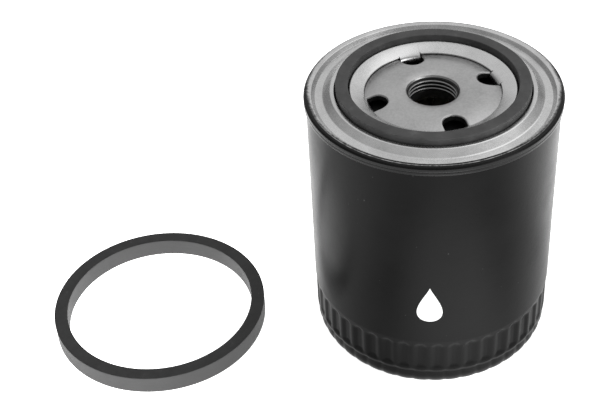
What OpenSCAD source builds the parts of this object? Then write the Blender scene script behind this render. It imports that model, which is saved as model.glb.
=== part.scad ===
// Spin-on oil filter: a fluted steel can with a rolled seam, a threaded tapping
// plate, a pleated paper element on a spring, a bypass valve and a check valve,
// and one larger alternative seal that lies loose beside the can.
// Millimetres, +Z up. The origin is the centre of the can's closed end, which
// stands on z = 0; the threaded end faces +Z.

/* [Can] */
// Outer diameter of the can's wall
can_d = 94.4; // [94:0.1:94.4]
// Height of the rolled seam's crest over the closed end
can_h = 110.5; // [105:0.5:125]
// Thickness of the can's sheet
can_wall = 0.8; // [0.6:0.1:1]
// Outer diameter of the rolled seam
seam_d = 96; // [95.8:0.1:97]
// Radius of the rounded edge at the closed end
corner_r = 7; // [6:0.5:9]

/* [Wrench flutes] */
// Number of flutes round the closed end
flute_count = 45; // [30:1:45]
// Outer diameter over the ribs between the flutes
rib_d = 94; // [93.4:0.1:94]
// Depth of each flute
flute_depth = 1.1; // [0.6:0.1:1.2]
// Width of each flute at the rib diameter
flute_w = 5.2; // [4:0.1:5.6]
// Height of the flutes' lower end
flute_low = 10.5; // [9:0.5:12]
// Height of the flutes' upper end
flute_high = 24; // [20:0.5:26]

/* [Thread] */
// Major diameter of the stud thread, 3/4 inch
thread_d = 19.05; // [18:0.05:20]
// Minor diameter of the internal thread
thread_minor_d = 17.4; // [17.3:0.05:17.7]
// Pitch of the thread, 16 turns per inch
thread_pitch = 1.5875; // [1.5:0.0125:1.6]
// Number of thread crests in the neck
thread_crests = 4; // [3:1:4]

/* [Seals] */
// Outer diameter of the fitted seal
seal_od = 72; // [71.6:0.1:72.4]
// Inner diameter of the fitted seal
seal_id = 62.8; // [62:0.1:63.4]
// How far the fitted seal's face stands over the seam's crest
seal_proud = 3.5; // [3:0.1:4]
// Outer diameter of the loose seal
loose_od = 88.6; // [84:0.2:92]
// Inner diameter of the loose seal
loose_id = 77.6; // [74:0.2:80]
// Height of the loose seal
loose_h = 7.8; // [5:0.1:9]
// Place of the loose seal's centre, left of the can
loose_x = -113.5; // [-130:0.5:-100]
// Place of the loose seal's centre, front to back
loose_y = -9.5; // [-20:0.5:20]

/* [Inlet slots] */
// Number of inlet slots in the tapping plate
slot_count = 4; // [4:1:4]
// Width of each slot
slot_w = 8.6; // [6:0.2:8.6]
// Radius from the axis to each slot's inner end
slot_inner_r = 17.8; // [17.5:0.1:19]
// Turn of the first slot about the axis, in degrees
slot_turn = 21; // [0:1:89]

/* [Element] */
// Number of pleats in the paper
pleat_count = 40; // [30:1:44]
// Outer radius over the pleats
pleat_out_r = 38; // [36:0.5:38]
// Radius inside the pleats
pleat_in_r = 20.5; // [20:0.5:22]
// Thickness of the paper
paper_t = 0.45; // [0.3:0.05:0.5]
// Outer radius of the perforated centre tube
tube_r = 18; // [17:0.2:18]
// Rows of holes up the centre tube
tube_rows = 8; // [6:1:12]

/* [Hidden] */

$fn = 96;
eps = 0.05;                          // gap between pieces that rest on each other
far = 200;                           // length of a cutter that runs right through

// Can
can_r = can_d / 2;
rib_r = rib_d / 2;
seam_r = seam_d / 2;
can_in_r = can_r - can_wall;
flute_skin = 1;                      // metal left under the deepest flute
flute_in_r = rib_r - flute_depth - flute_skin;
flute_r = (pow(flute_w / 2, 2) + pow(flute_depth, 2)) / (2 * flute_depth);
step_h = 1.4;                        // height of the cone from the ribs to the wall
step_low = flute_high - 0.4;
dish_r = 27;                         // radius of the recess in the closed end
dish_h = 2;
flange_r = can_r + 0.3;              // the can's own edge, rolled into the seam
flange_low = can_h - 2.9;
flange_high = can_h - 1;

// Cover
sheet = 0.6;                         // thickness of the cover
cover_hole_r = 25.4;
cone_edge_z = can_h - 0.9;
cone_top_z = can_h + 1.3;
channel_z = can_h - 2.2;             // floor of the seal's channel
channel_in_r = seal_id / 2 - 0.2;
channel_out_r = seal_od / 2 + 0.3;
lip_out_r = channel_out_r + 1.7;
lip_z = can_h + 0.9;
valley_r = lip_out_r + 2.9;
valley_z = can_h - 1.6;
seam_in_r = 43.8;                    // foot of the seam's inner slope
seam_top_r = 45.4;
seam_low = can_h - 3.5;
tab_h = 2.6;                         // how far each tab reaches into its slot

// Tapping plate
plate_t = 2.6;
plate_z = channel_z - sheet - eps;   // flat outer part's upper face
plate_r = 41;
dome_in_r = 11.2;
dome_out_r = 20.5;
dome_z = can_h - 0.1;
dome_foot_r = 29.5;
mouth_r = 1.6;                       // radius of the rounded mouth
neck_r = 12;
neck_low = can_h - 10.9;
thread_r = thread_d / 2;
minor_r = thread_minor_d / 2;
land = 0.4;                          // width of the flat on each thread crest
land_top = dome_z - mouth_r;         // upper end of the highest crest
land_low = land_top - land - (thread_crests - 1) * thread_pitch;
bore_r = minor_r + 1.05;             // plain bore under the thread
slot_end_r = 28;

// Valves under the plate
neck_gap = 0.3;
valve_collar_r = 14.5;
valve_low = can_h - 6.9;
valve_high = can_h - 4.3;
valve_lip_r = 34.5;
valve_web = 1.1;

// Element, from the bottom up
spring_low = dish_h + can_wall + eps;
cap_z = 14.2;                        // lower face of the bottom cap
cap_t = 0.8;
cap_r = 39.8;
cap_rim_h = 3.4;
potting_t = 1.9;
potting_r = 38.8;
potting_low = cap_z + cap_t + eps;
media_low = potting_low + potting_t + eps;
top_cap_z = can_h - 12.9;            // lower face of the top cap
top_potting_low = top_cap_z - eps - potting_t;
media_high = top_potting_low - eps;
tube_wall = 0.8;
tube_hole_r = 2.2;
tube_hole_cols = 8;
neck_seal_r = 14.6;
neck_seal_h = 3.35;
neck_seal_bore_r = neck_r + 0.1;

// Bypass valve, in the middle of the bottom cap
seat_r = 6;
seat_out_r = 7.9;
seat_flange_r = 9.4;
seat_low = cap_z - 0.6;
seat_high = cap_z + 2.2;
disc_r = 7.6;
disc_low = seat_high + 0.06;
disc_t = 0.95;
poppet_r = 8.2;
poppet_low = disc_low + disc_t + eps;
poppet_t = 0.8;
pin_r = 1.5;
guide_r = 3.6;
guide_h = 2.8;
bypass_low = poppet_low + poppet_t + eps;
bypass_len = 11.2;
cage_r = 10.5;
cage_wall = 0.8;
cage_foot_r = 14;
cage_legs = 3;
cage_leg_w = 5;
cage_top_z = bypass_low + bypass_len + eps;

// Springs
bypass_wire = 0.9;
bypass_coil_r = 5.2;
bypass_turns = 6;
element_wire = 2;
element_coil_r = 14;
element_turns = 4;

module ring(r_out, r_in, z, h) {
    translate([0, 0, z])
        difference() {
            cylinder(r = r_out, h = h);
            translate([0, 0, -1])
                cylinder(r = r_in, h = h + 2);
        }
}

// Outline of a band from r = 0, for a turned solid.
module band(r, low, high) {
    translate([0, low])
        square([r, high - low]);
}

// Outline of a cup's outside: a flat floor and a round edge.
module cup_outline(r, low, high, edge_r) {
    band(r - edge_r, low, high);
    band(r, low + edge_r, high);
    translate([r - edge_r, low + edge_r])
        circle(r = edge_r);
}

// Height of a coil spring's wire after a number of turns: the first and the
// last turn lie closed, and the turns between share the remaining height.
function coil_z(turn, turns, rise, wire) =
    let (closed = wire * 1.06,
         open = (rise - wire - 2 * closed) / (turns - 2))
    turn < 1 ? turn * closed
    : turn > turns - 1 ? rise - wire - (turns - turn) * closed
    : closed + (turn - 1) * open;

// A coil spring of round wire, swept as one closed surface.
module coil(coil_r, wire, turns, low, rise, steps = 24, sides = 8) {
    count = turns * steps;
    points = [for (i = [0 : count])
        let (a = 360 * i / steps,
             z = low + wire / 2 + coil_z(i / steps, turns, rise, wire))
        for (k = [0 : sides - 1])
            let (b = 360 * k / sides, r = coil_r + wire / 2 * cos(b))
            [r * cos(a), r * sin(a), z + wire / 2 * sin(b)]];
    walls = [for (i = [0 : count - 1], k = [0 : sides - 1])
        let (n = (k + 1) % sides)
        [i * sides + k, i * sides + n, (i + 1) * sides + n, (i + 1) * sides + k]];
    start = [for (k = [sides - 1 : -1 : 0]) k];
    end = [for (k = [0 : sides - 1]) count * sides + k];
    polyhedron(points, concat(walls, [start, end]), convexity = 8);
}

module can_outside() {
    cup_outline(rib_r, 0, flute_high, corner_r);
    polygon([[0, step_low], [rib_r, step_low],
             [can_r, step_low + step_h], [0, step_low + step_h]]);
    band(can_r, step_low + step_h, flange_low);
    band(flange_r, flange_low, flange_high);
}

module can_inside() {
    difference() {
        union() {
            cup_outline(flute_in_r, can_wall, flute_high + step_h + 1, corner_r - 2);
            band(can_in_r, flute_high + step_h, can_h + 1);
        }
        polygon([[0, 0], [dish_r + 1, 0], [dish_r + 0.5, dish_h + can_wall],
                 [0, dish_h + can_wall]]);
    }
}

module canister_shell() {
    color("#1d1e20")
        difference() {
            rotate_extrude()
                can_outside();
            rotate_extrude()
                can_inside();
            translate([0, 0, -1])
                cylinder(r = dish_r - 1, h = dish_h + 1);
            for (i = [0 : flute_count - 1])
                rotate(360 * i / flute_count + 2)
                    translate([rib_r - flute_depth + flute_r, 0, flute_low])
                        cylinder(r = flute_r, h = flute_high - flute_low, $fn = 32);
        }
}

// The cover's section: cone, seal channel, lip, valley and rolled seam.
module cover_outline() {
    polygon([
        [cover_hole_r, cone_edge_z],
        [channel_in_r - sheet, cone_top_z],
        [channel_in_r, cone_top_z],
        [channel_in_r, channel_z],
        [channel_out_r, channel_z],
        [channel_out_r, lip_z],
        [lip_out_r, lip_z],
        [valley_r, valley_z],
        [seam_in_r, valley_z],
        [seam_top_r - 0.3, can_h - 0.2],
        [seam_top_r, can_h],
        [seam_r - 0.6, can_h],
        [seam_r, can_h - 0.6],
        [seam_r, seam_low],
        [can_r + 0.1, seam_low],
        [can_r + 0.1, seam_low + 0.5],
        [flange_r + 0.1, seam_low + 0.5],
        [flange_r + 0.1, can_h - sheet],
        [can_in_r - 0.1, can_h - sheet],
        [can_in_r - 0.1, valley_z - sheet],
        [valley_r - 0.2, valley_z - sheet],
        [lip_out_r - 0.2, lip_z - sheet],
        [channel_out_r + sheet, lip_z - sheet],
        [channel_out_r + sheet, channel_z - sheet],
        [channel_in_r - sheet, channel_z - sheet],
        [channel_in_r - sheet, cone_top_z - 0.75],
        [cover_hole_r, cone_edge_z - sheet]
    ]);
}

// One tab on the cover's inner edge, bent down into a slot.
module cover_tab() {
    translate([cover_hole_r - 0.4, -slot_w / 2 + 0.3, cone_edge_z - tab_h])
        cube([sheet + 0.2, slot_w - 0.6, tab_h]);
}

module cover_plate() {
    color("#b9bcc0")
        union() {
            rotate_extrude()
                cover_outline();
            for (i = [0 : slot_count - 1])
                rotate(slot_turn + 360 * i / slot_count)
                    cover_tab();
        }
}

// The plate's section before its thread and slots are cut.
module plate_outline() {
    difference() {
        polygon([
            [0, neck_low],
            [neck_r, neck_low],
            [neck_r, dome_z - plate_t - 1.6],
            [neck_r + 2.5, dome_z - plate_t - 0.1],
            [dome_out_r - 0.5, dome_z - plate_t - 0.2],
            [dome_foot_r - 0.5, plate_z - plate_t],
            [plate_r, plate_z - plate_t],
            [plate_r, plate_z],
            [dome_foot_r, plate_z],
            [dome_out_r, dome_z - 0.2],
            [dome_out_r - 1.5, dome_z],
            [0, dome_z]
        ]);
        band(bore_r, neck_low - 1, land_low);
        band(minor_r, neck_low - 1, dome_z + 1);
        difference() {
            band(dome_in_r, dome_z - mouth_r, dome_z + 1);
            translate([dome_in_r, dome_z - mouth_r])
                circle(r = mouth_r);
        }
    }
}

// The V groove under one thread crest.
module thread_groove(top) {
    half = (thread_pitch - land) / 2;
    rotate_extrude()
        polygon([[minor_r - 1, top], [minor_r, top], [thread_r, top - half],
                 [minor_r, top - 2 * half], [minor_r - 1, top - 2 * half]]);
}

module inlet_slot() {
    centre_r = slot_inner_r + slot_w / 2;
    translate([centre_r, 0, 0])
        cylinder(r = slot_w / 2, h = far);
    translate([centre_r, -slot_w / 2, 0])
        cube([slot_end_r - centre_r, slot_w, far]);
}

module tapping_plate() {
    color("#9b9ea2")
        difference() {
            rotate_extrude()
                plate_outline();
            for (i = [0 : thread_crests - 2])
                thread_groove(land_top - land - i * thread_pitch);
            for (i = [0 : slot_count - 1])
                rotate(slot_turn + 360 * i / slot_count)
                    inlet_slot();
        }
}

module seam_sealant() {
    color("#5a2f28")
        ring(flange_r, can_in_r + 0.05, flange_high + eps, 0.3);
}

module fitted_seal() {
    low = channel_z + eps;
    color("#2b2c2e")
        ring(seal_od / 2, seal_id / 2, low, can_h + seal_proud - low);
}

module loose_outer_seal() {
    color("#2f3032")
        translate([loose_x, loose_y, 0])
            ring(loose_od / 2, loose_id / 2, 0, loose_h);
}

// Rubber check valve: a collar round the neck and a lip under the plate.
module anti_drain_valve() {
    lip_z = plate_z - plate_t - neck_gap;
    color("#161616")
        rotate_extrude()
            polygon([
                [neck_r + neck_gap, valve_low],
                [valve_collar_r, valve_low],
                [valve_lip_r - 4.5, valve_low - 0.6],
                [valve_lip_r, lip_z],
                [valve_lip_r - 1, lip_z],
                [valve_lip_r - 5, valve_low - 0.6 + valve_web],
                [valve_collar_r, valve_low + valve_web],
                [valve_collar_r - 0.6, valve_high],
                [neck_r + neck_gap, valve_high]
            ]);
}

module neck_seal() {
    color("#202020")
        ring(neck_seal_r, neck_seal_bore_r, top_cap_z + cap_t + eps, neck_seal_h);
}

// A pressed end cap: a flat washer with a rim round its outer edge.
module end_cap(z, hole_r, rim_low, rim_high) {
    ring(cap_r, hole_r, z, cap_t);
    ring(cap_r, cap_r - cap_t, rim_low, rim_high - rim_low);
}

module element_top_cap() {
    color("#a9a48c")
        end_cap(top_cap_z, neck_r + 0.6, top_cap_z - cap_rim_h, top_cap_z + cap_t);
}

module element_bottom_cap() {
    color("#a9a48c")
        end_cap(cap_z, seat_out_r + 0.05, cap_z, cap_z + cap_t + cap_rim_h);
}

module top_potting() {
    color("#c7a86a")
        ring(potting_r, tube_r + 0.1, top_potting_low, potting_t);
}

module bottom_potting() {
    color("#c7a86a")
        ring(potting_r, tube_r + 0.1, potting_low, potting_t);
}

// A star with one peak for each pleat, between two radii.
module star(out_r, in_r) {
    polygon([for (i = [0 : 2 * pleat_count - 1])
        let (a = 180 * i / pleat_count, r = i % 2 == 0 ? out_r : in_r)
        [r * cos(a), r * sin(a)]]);
}

module pleated_media() {
    half_step = pleat_in_r * sin(180 / pleat_count);
    slope = atan(half_step / (pleat_out_r - pleat_in_r));
    shift = paper_t / sin(slope);
    color("#d9c58f")
        translate([0, 0, media_low])
            linear_extrude(media_high - media_low)
                difference() {
                    star(pleat_out_r, pleat_in_r + shift);
                    star(pleat_out_r - shift, pleat_in_r);
                }
}

// Folded metal strip that joins the paper's two ends over one pleat.
module media_seam_clip() {
    gap = 1.1;
    skin = 0.35;
    depth = 3.6;
    top_r = pleat_out_r + 0.1;
    color("#8d9093")
        translate([top_r - depth, -gap / 2 - skin, media_low])
            difference() {
                cube([depth + skin, gap + 2 * skin, media_high - media_low]);
                translate([-1, skin, -1])
                    cube([depth + 1, gap, far]);
            }
}

module center_tube() {
    low = potting_low;
    high = top_cap_z - eps;
    row_step = (high - low - 12) / (tube_rows - 1);
    color("#a7aaad")
        difference() {
            ring(tube_r, tube_r - tube_wall, low, high - low);
            for (row = [0 : tube_rows - 1], col = [0 : tube_hole_cols / 2 - 1])
                translate([0, 0, low + 6 + row * row_step])
                    rotate([0, 90, 360 * col / tube_hole_cols + (row % 2) * 22.5])
                        cylinder(r = tube_hole_r, h = far, center = true, $fn = 24);
        }
}

module bypass_seat() {
    color("#b08d45")
        union() {
            ring(seat_out_r, seat_r, seat_low, seat_high - seat_low);
            ring(seat_flange_r, seat_r, cap_z + cap_t + eps, 0.8);
        }
}

module bypass_poppet() {
    color("#9a9da0")
        union() {
            translate([0, 0, poppet_low])
                cylinder(r = poppet_r, h = poppet_t);
            translate([0, 0, disc_low - 0.4])
                cylinder(r = pin_r, h = poppet_low + poppet_t - disc_low + 0.4);
            translate([0, 0, poppet_low])
                cylinder(r = guide_r, h = poppet_t + guide_h);
        }
}

module bypass_disc_seal() {
    color("#1b1b1b")
        ring(disc_r, pin_r + 0.05, disc_low, disc_t);
}

module bypass_cage() {
    foot_z = cap_z + cap_t + eps;
    color("#8b8e91")
        union() {
            ring(cage_foot_r, cage_r - cage_wall, foot_z, cage_wall);
            ring(cage_r, guide_r, cage_top_z, cage_wall);
            intersection() {
                ring(cage_r, cage_r - cage_wall, foot_z, cage_top_z + cage_wall - foot_z);
                for (i = [0 : cage_legs - 1])
                    rotate(360 * i / cage_legs)
                        translate([0, -cage_leg_w / 2, 0])
                            cube([cage_r + 1, cage_leg_w, far]);
            }
        }
}

module bypass_spring() {
    color("#c2c4c6")
        coil(bypass_coil_r, bypass_wire, bypass_turns, bypass_low, bypass_len);
}

module element_spring() {
    color("#7d8083")
        coil(element_coil_r, element_wire, element_turns, spring_low,
             cap_z - eps - spring_low, sides = 10);
}

canister_shell();
cover_plate();
tapping_plate();
seam_sealant();
fitted_seal();
loose_outer_seal();
anti_drain_valve();
neck_seal();
element_top_cap();
top_potting();
pleated_media();
media_seam_clip();
center_tube();
bottom_potting();
element_bottom_cap();
bypass_seat();
bypass_poppet();
bypass_disc_seal();
bypass_spring();
bypass_cage();
element_spring();
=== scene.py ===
import math

import bmesh
import bpy
import numpy as np
from mathutils import Matrix, Vector


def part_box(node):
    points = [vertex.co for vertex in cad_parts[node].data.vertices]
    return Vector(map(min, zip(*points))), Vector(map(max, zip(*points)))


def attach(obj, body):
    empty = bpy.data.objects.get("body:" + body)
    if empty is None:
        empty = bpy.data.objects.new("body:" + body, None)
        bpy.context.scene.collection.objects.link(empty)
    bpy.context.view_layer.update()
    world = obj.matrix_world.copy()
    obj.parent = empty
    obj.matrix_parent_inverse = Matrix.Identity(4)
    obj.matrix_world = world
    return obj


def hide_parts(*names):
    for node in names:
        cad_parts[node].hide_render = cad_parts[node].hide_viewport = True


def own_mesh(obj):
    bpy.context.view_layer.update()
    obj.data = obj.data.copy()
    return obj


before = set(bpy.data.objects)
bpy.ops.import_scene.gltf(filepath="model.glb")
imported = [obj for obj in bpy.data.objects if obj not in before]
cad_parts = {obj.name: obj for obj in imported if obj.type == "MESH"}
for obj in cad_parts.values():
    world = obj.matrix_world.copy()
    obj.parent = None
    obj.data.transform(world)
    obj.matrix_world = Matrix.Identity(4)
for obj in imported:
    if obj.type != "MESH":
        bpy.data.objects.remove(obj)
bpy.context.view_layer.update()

# Shapes are in millimetres, in the row frame, and MM turns them into metres. The materials, the stage,
# the lights and the camera are in metres.
MM = 0.001
TAU = 2 * math.pi

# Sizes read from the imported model
SEAM_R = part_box("cover_plate")[1].x / MM
LIP_RISE = 1.3                      # how far the lip inside the seal stands over the seam's crest
CREST_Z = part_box("cover_plate")[1].z / MM - LIP_RISE
SEAL_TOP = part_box("fitted_seal")[1].z / MM
SEAL_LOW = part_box("fitted_seal")[0].z / MM
SEAL_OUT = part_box("fitted_seal")[1].x / MM
PLATE_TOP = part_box("tapping_plate")[1].z / MM
PLATE_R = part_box("tapping_plate")[1].x / MM
NECK_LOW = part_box("tapping_plate")[0].z / MM

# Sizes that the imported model's boxes don't give
WALL_R = 47.2                       # the can above its flutes
RIB_R = 47.0                        # the ribs between the flutes
SEAL_IN = 31.4                      # inside of the fitted seal
MINOR_R, MAJOR_R = 8.7, 9.525       # crests and roots of the neck's thread
SLOT_TURN = math.radians(21)        # azimuth of the first slot
SLOTS = 4


# ---------------------------------------------------------------- mesh helpers

def add_piece(name, verts, faces, material, body, nodes=(), sharp=38.0, second=None):
    """A mesh piece in the row frame, merged where its vertices meet, that rides on a body.
    second is another material and the faces that carry it."""
    mesh = bpy.data.meshes.new(name)
    mesh.from_pydata((np.asarray(verts, float) * MM).tolist(), [], [list(map(int, f)) for f in faces])
    mesh.materials.append(material)
    if second:
        mesh.materials.append(second[0])
        mesh.polygons.foreach_set("material_index", np.asarray(second[1], np.int32))
    bm = bmesh.new()
    bm.from_mesh(mesh)
    bmesh.ops.remove_doubles(bm, verts=bm.verts, dist=2e-6)
    bmesh.ops.dissolve_degenerate(bm, edges=bm.edges, dist=1e-7)
    bmesh.ops.recalc_face_normals(bm, faces=bm.faces)
    bm.to_mesh(mesh)
    bm.free()
    mesh.polygons.foreach_set("use_smooth", [True] * len(mesh.polygons))
    mesh.set_sharp_from_angle(angle=math.radians(sharp))
    obj = bpy.data.objects.new(name, mesh)
    bpy.context.scene.collection.objects.link(obj)
    if nodes:
        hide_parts(*nodes)
    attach(obj, body)
    return obj


def grid_faces(rows, cols, close_rows=True, close_cols=True):
    """Quads of a grid whose vertex (row, col) has the number row * cols + col."""
    i = np.arange(rows if close_rows else rows - 1)
    j = np.arange(cols if close_cols else cols - 1)
    i, j = np.meshgrid(i, j, indexing="ij")
    n, m = (i + 1) % rows, (j + 1) % cols
    quads = np.stack([i * cols + j, i * cols + m, n * cols + m, n * cols + j], -1)
    return quads.reshape(-1, 4)


def rounded(points, radius=0.2, steps=4, closed=True):
    """An outline of (x, y) or (x, y, radius) corners, with each corner rounded."""
    out = []
    count = len(points)
    for i, p in enumerate(points):
        here = np.array(p[:2], float)
        size = p[2] if len(p) > 2 else radius
        if not closed and i in (0, count - 1):
            out.append(here)
            continue
        u = np.array(points[i - 1][:2], float) - here
        v = np.array(points[(i + 1) % count][:2], float) - here
        lu, lv = np.linalg.norm(u), np.linalg.norm(v)
        u, v = u / lu, v / lv
        angle = math.acos(float(np.clip(u @ v, -1, 1)))
        if size <= 0 or angle > math.pi - 0.02:
            out.append(here)
            continue
        reach = min(size / math.tan(angle / 2), 0.48 * lu, 0.48 * lv)
        size = reach * math.tan(angle / 2)
        centre = here + (u + v) / np.linalg.norm(u + v) * size / math.sin(angle / 2)
        a, b = here + u * reach - centre, here + v * reach - centre
        start = math.atan2(a[1], a[0])
        turn = (math.atan2(b[1], b[0]) - start + math.pi) % TAU - math.pi
        for k in range(steps + 1):
            t = start + turn * k / steps
            out.append(centre + size * np.array([math.cos(t), math.sin(t)]))
    return np.array(out)


def resampled(points, count):
    """The same open line with a given number of evenly spaced points."""
    points = np.asarray(points, float)
    s = np.concatenate([[0], np.cumsum(np.linalg.norm(np.diff(points, axis=0), axis=1))])
    t = np.linspace(0, s[-1], count)
    return np.stack([np.interp(t, s, points[:, k]) for k in range(2)], -1)


def split_long(points, step, closed=True):
    """The outline with extra points so that no side is longer than step."""
    points = np.asarray(points, float)
    out = []
    last = len(points) if closed else len(points) - 1
    for i in range(last):
        a, b = points[i], points[(i + 1) % len(points)]
        n = max(1, math.ceil(np.linalg.norm(b - a) / step))
        out += [a + (b - a) * k / n for k in range(n)]
    if not closed:
        out.append(points[-1])
    return np.array(out)


def smooth_step(x, low, high):
    """0 below low, 1 above high and an even curve between them."""
    t = np.clip((x - low) / (high - low), 0, 1)
    return t * t * (3 - 2 * t)


def ring_verts(r, z, angles, centre=(0, 0)):
    """Vertices for radii r and heights z given as (rows, cols) or (rows,)."""
    r, z = np.asarray(r, float), np.asarray(z, float)
    if r.ndim == 1:
        r, z = r[:, None] + 0 * angles, z[:, None] + 0 * angles
    x = r * np.cos(angles) + centre[0]
    y = r * np.sin(angles) + centre[1]
    return np.stack([x, y, z], -1).reshape(-1, 3)


def turned(name, outline, material, body, nodes=(), steps=240, centre=(0, 0)):
    """A closed outline of (r, z) turned about an upright axis."""
    outline = np.asarray(outline, float)
    angles = np.arange(steps) * TAU / steps
    verts = ring_verts(outline[:, 0], outline[:, 1], angles, centre)
    add_piece(name, verts, grid_faces(len(outline), steps), material, body, nodes)


# ---------------------------------------------------------------- materials

class Look:
    """A node material with a Principled shader; link() makes a node and wires its inputs."""

    def __init__(self, name, metallic=0.0, specular=0.5, **constants):
        self.mat = bpy.data.materials.new(name)
        self.mat.use_nodes = True
        self.tree = self.mat.node_tree
        self.bsdf = self.tree.nodes["Principled BSDF"]
        self.bsdf.inputs["Metallic"].default_value = metallic
        self.bsdf.inputs["Specular IOR Level"].default_value = specular
        for key, value in constants.items():
            self.bsdf.inputs[key.replace("_", " ")].default_value = value
        self.coords = self.node("ShaderNodeTexCoord").outputs["Object"]

    def node(self, kind, inputs=None, **settings):
        made = self.tree.nodes.new(kind)
        for key, value in settings.items():
            setattr(made, key, value)
        for key, value in (inputs or {}).items():
            if isinstance(value, bpy.types.NodeSocket):
                self.tree.links.new(value, made.inputs[key])
            else:
                made.inputs[key].default_value = value
        return made

    def noise(self, scale, detail=4.0, rough=0.55, stretch=None):
        coords = self.coords
        if stretch:
            coords = self.node("ShaderNodeMapping", {"Vector": coords, "Scale": stretch}).outputs[0]
        made = self.node("ShaderNodeTexNoise", {"Vector": coords, "Scale": scale, "Detail": detail,
                                                "Roughness": rough})
        return made.outputs["Fac"]

    def remap(self, value, low, high, to_low, to_high, smooth=True):
        made = self.node("ShaderNodeMapRange", {0: value, 1: low, 2: high, 3: to_low, 4: to_high})
        made.interpolation_type = "SMOOTHSTEP" if smooth else "LINEAR"
        return made.outputs[0]

    def math(self, kind, a, b=0.0, c=None):
        inputs = {0: a, 1: b}
        if c is not None:
            inputs[2] = c
        return self.node("ShaderNodeMath", inputs, operation=kind).outputs[0]

    def mix(self, amount, a, b):
        """Colours a and b (greys or RGB) mixed by amount."""
        made = self.node("ShaderNodeMix", data_type="RGBA")
        for key, value in (("Factor", amount), ("A", a), ("B", b)):
            socket = [s for s in made.inputs if s.name == key and s.enabled][0]
            if isinstance(value, bpy.types.NodeSocket):
                self.tree.links.new(value, socket)
            elif key == "Factor":
                socket.default_value = value
            else:
                socket.default_value = tone(value)
        return [s for s in made.outputs if s.enabled][0]

    def radius(self):
        """Distance from the part's own upright axis, in metres."""
        xyz = self.node("ShaderNodeSeparateXYZ", {0: self.coords})
        x2 = self.math("MULTIPLY", xyz.outputs[0], xyz.outputs[0])
        return self.math("SQRT", self.math("MULTIPLY_ADD", xyz.outputs[1], xyz.outputs[1], x2))

    def depth(self):
        """Position from the front (negative) to the back."""
        return self.node("ShaderNodeSeparateXYZ", {0: self.coords}).outputs[1]

    def distance(self, place):
        """Distance from a place, in metres."""
        made = self.node("ShaderNodeVectorMath", {0: self.coords, 1: place}, operation="DISTANCE")
        return made.outputs["Value"]

    def bump(self, value, strength, distance, under=None):
        inputs = {"Height": value, "Strength": strength, "Distance": distance}
        if under is not None:
            inputs["Normal"] = under
        return self.node("ShaderNodeBump", inputs).outputs[0]

    def finish(self, color, roughness, normal=None, metallic=None):
        for key, value in (("Base Color", color), ("Roughness", roughness), ("Normal", normal),
                           ("Metallic", metallic)):
            if value is None:
                continue
            if isinstance(value, bpy.types.NodeSocket):
                self.tree.links.new(value, self.bsdf.inputs[key])
            else:
                self.bsdf.inputs[key].default_value = tone(value) if key == "Base Color" else value
        return self.mat


def tone(value):
    """A grey number or an RGB triple as a colour."""
    if isinstance(value, (int, float)):
        return (value, value, value, 1)
    return (*value, 1)


def black_paint():
    """Satin black enamel with a fine orange peel and a few pale specks."""
    look = Look("black_paint", specular=0.07)
    broad = look.noise(55, 3, 0.6)
    peel = look.noise(900, 2, 0.4)
    grit = look.noise(2600, 3, 0.6)
    specks = look.remap(look.noise(700, 1, 0.3), 0.80, 0.84, 0, 1)
    base = look.mix(look.remap(broad, 0.35, 0.65, 0, 1), 0.0012, 0.0022)
    base = look.mix(look.math("MULTIPLY", specks, 0.35), base, 0.10)
    rough = look.math("ADD", look.remap(broad, 0.3, 0.7, 0.30, 0.36), look.remap(grit, 0.3, 0.7, -0.03, 0.04))
    normal = look.bump(broad, 0.06, 0.0012)
    normal = look.bump(peel, 0.10, 0.00012, normal)
    normal = look.bump(grit, 0.10, 0.00003, normal)
    return look.finish(base, rough, normal)


def zinc_shade(look):
    """Mottled grey and roughness of dull zinc."""
    broad = look.noise(85, 5, 0.62)
    fine = look.noise(1500, 4, 0.65)
    shade = look.math("ADD", look.remap(broad, 0.28, 0.72, 0.0, 0.6), look.remap(fine, 0.3, 0.7, 0.0, 0.4))
    rough = look.math("ADD", look.remap(broad, 0.3, 0.7, 0.22, 0.30), look.remap(fine, 0.3, 0.7, -0.03, 0.05))
    normal = look.bump(broad, 0.05, 0.0010)
    normal = look.bump(fine, 0.10, 0.00010, normal)
    normal = look.bump(look.noise(5200, 3, 0.6), 0.08, 0.00003, normal)
    return look.mix(shade, 0.48, 0.66), rough, normal


def zinc_plate():
    look = Look("zinc_plate", metallic=1.0)
    return look.finish(*zinc_shade(look))


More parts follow.
